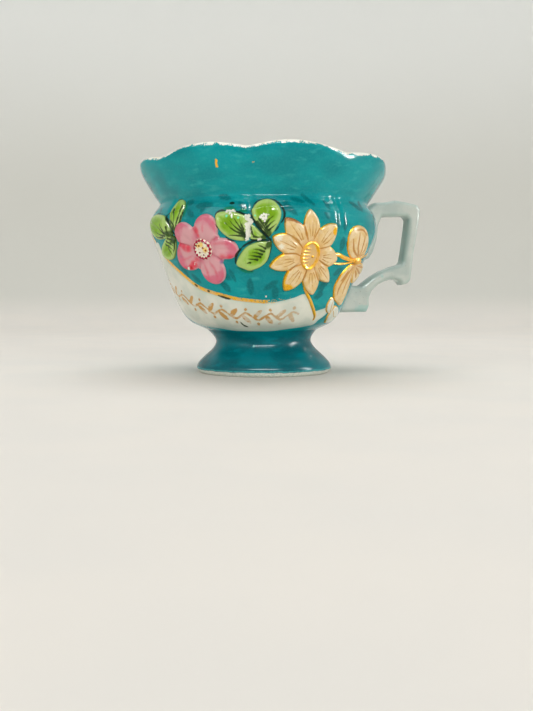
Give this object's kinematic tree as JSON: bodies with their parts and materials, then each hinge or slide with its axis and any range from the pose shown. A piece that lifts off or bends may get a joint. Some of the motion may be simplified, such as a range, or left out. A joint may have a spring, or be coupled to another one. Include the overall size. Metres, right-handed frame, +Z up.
{
  "type": "shaving mug",
  "caption": "Pedestal shaving mug with a flared scalloped collar, round foot, bracket handle and pressed leaf and flower ornament on its wall.",
  "frame": {"origin": "middle of the object's box, on the table: the mug's own axis is 9.05 mm towards -X from it", "axes": "+X from the mug's axis towards the handle, +Z up, so that the decorated front faces -Y and a little to -X"},
  "size_m": [0.1138, 0.0956, 0.0818],
  "materials": {
    "teal_glaze": "glossy teal enamel over white glaze, a white lip and a white banner low on the front",
    "foot_glaze": "glossy dark teal enamel, worn to off-white at the foot ring",
    "white_glaze": "glossy grey-white glaze",
    "green_leaf": "glossy painted green with dark veins and chipped white spots",
    "pink_petal": "glossy painted pink, white at the petal edges",
    "crimson_paint": "glossy crimson ring with cream and yellow stamens",
    "cream_gilding": "worn satin gilding over cream, with bright gold outlines",
    "bright_gilding": "bright satin gold"
  },
  "bodies": {
    "root": {"bowl": "teal_glaze", "pedestal_foot": "foot_glaze", "handle": "white_glaze", "left_leaf_outer": "green_leaf", "left_leaf_upper": "green_leaf", "left_leaf_lower": "green_leaf", "pink_flower": "pink_petal", "pink_flower_centre": "crimson_paint", "middle_leaf_left": "green_leaf", "middle_leaf_top": "green_leaf", "middle_leaf_low": "green_leaf", "middle_leaf_sliver": "green_leaf", "gold_flower": "cream_gilding", "gold_flower_centre": "bright_gilding", "gold_link": "bright_gilding", "gold_knot": "bright_gilding", "gold_bud": "cream_gilding", "gold_long_leaf": "cream_gilding", "gold_short_leaf": "cream_gilding", "white_leaf_upper": "white_glaze", "white_leaf_lower": "white_glaze", "gold_stem": "bright_gilding"}
  },
  "joints": []
}
